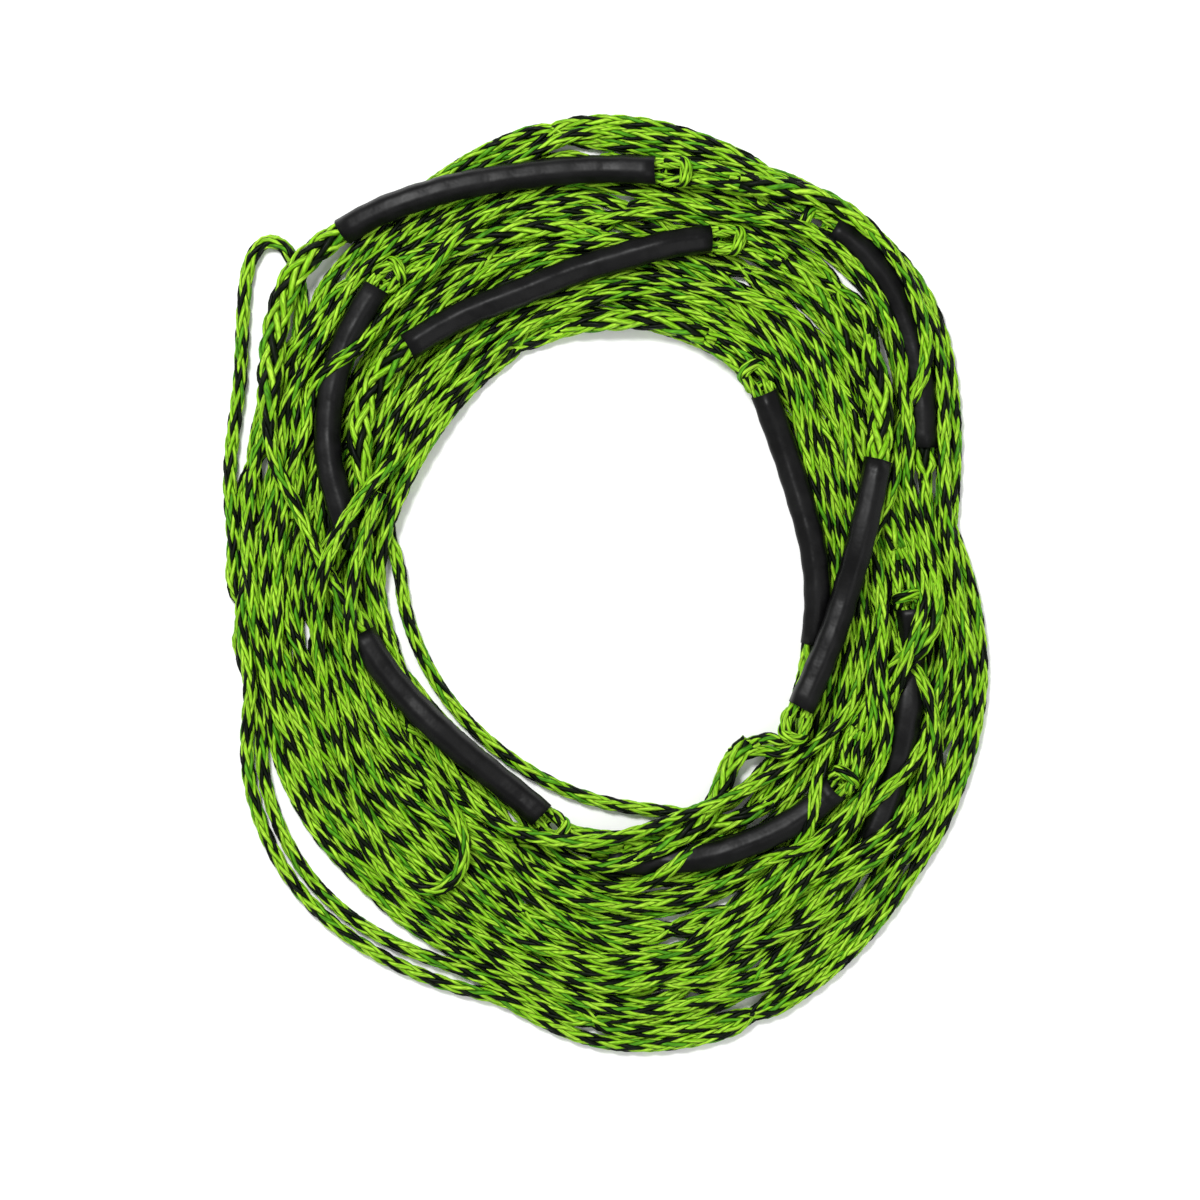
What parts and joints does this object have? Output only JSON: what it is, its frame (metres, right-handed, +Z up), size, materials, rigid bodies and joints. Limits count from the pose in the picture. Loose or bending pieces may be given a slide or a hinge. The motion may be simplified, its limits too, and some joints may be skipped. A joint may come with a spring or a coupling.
{
  "type": "sectioned tow rope coil",
  "caption": "Sectioned hollow-braid tow rope in lime and black, loosely coiled flat, with black sleeved splices, loop joins and two end loops.",
  "frame": {"origin": "middle of the coil's outline, on the surface that it lies on", "axes": "+Z up out of the flat coil, +Y along the coil's long way towards the topmost sleeve, +X across it"},
  "size_m": [0.3306, 0.409, 0.0321],
  "materials": {
    "rope": "lime and black hollow braid of polyethylene yarns, satin",
    "sleeve": "satin black shrunk sleeve"
  },
  "bodies": {
    "root": {"boat_end_coil": "rope", "boat_end_loop": "rope", "bottom_buried_tail": "rope", "bottom_join": "rope", "bottom_loop_legs": "rope", "bottom_sleeve": "sleeve", "bottom_splice": "rope", "handle_end_coil": "rope", "handle_end_loop": "rope", "inner_right_buried_tail": "rope", "inner_right_join": "rope", "inner_right_loop_legs": "rope", "inner_right_sleeve": "sleeve", "inner_right_splice": "rope", "inner_strand": "rope", "loose_eye_rope": "rope", "lower_left_buried_tail": "rope", "lower_left_join": "rope", "lower_left_loop_legs": "rope", "lower_left_sleeve": "sleeve", "lower_left_splice": "rope", "lower_right_buried_tail": "rope", "lower_right_join": "rope", "lower_right_loop_legs": "rope", "lower_right_sleeve": "sleeve", "lower_right_splice": "rope", "middle_sections_coil": "rope", "outer_strand": "rope", "right_buried_tail": "rope", "right_join": "rope", "right_loop_legs": "rope", "right_sleeve": "sleeve", "right_splice": "rope", "second_outer_strand": "rope", "top_buried_tail": "rope", "top_join": "rope", "top_loop_legs": "rope", "top_sleeve": "sleeve", "top_splice": "rope", "upper_left_buried_tail": "rope", "upper_left_join": "rope", "upper_left_loop_legs": "rope", "upper_left_sleeve": "sleeve", "upper_left_splice": "rope", "upper_middle_buried_tail": "rope", "upper_middle_join": "rope", "upper_middle_loop_legs": "rope", "upper_middle_sleeve": "sleeve", "upper_middle_splice": "rope", "upper_right_buried_tail": "rope", "upper_right_join": "rope", "upper_right_loop_legs": "rope", "upper_right_sleeve": "sleeve", "upper_right_splice": "rope"}
  },
  "joints": []
}
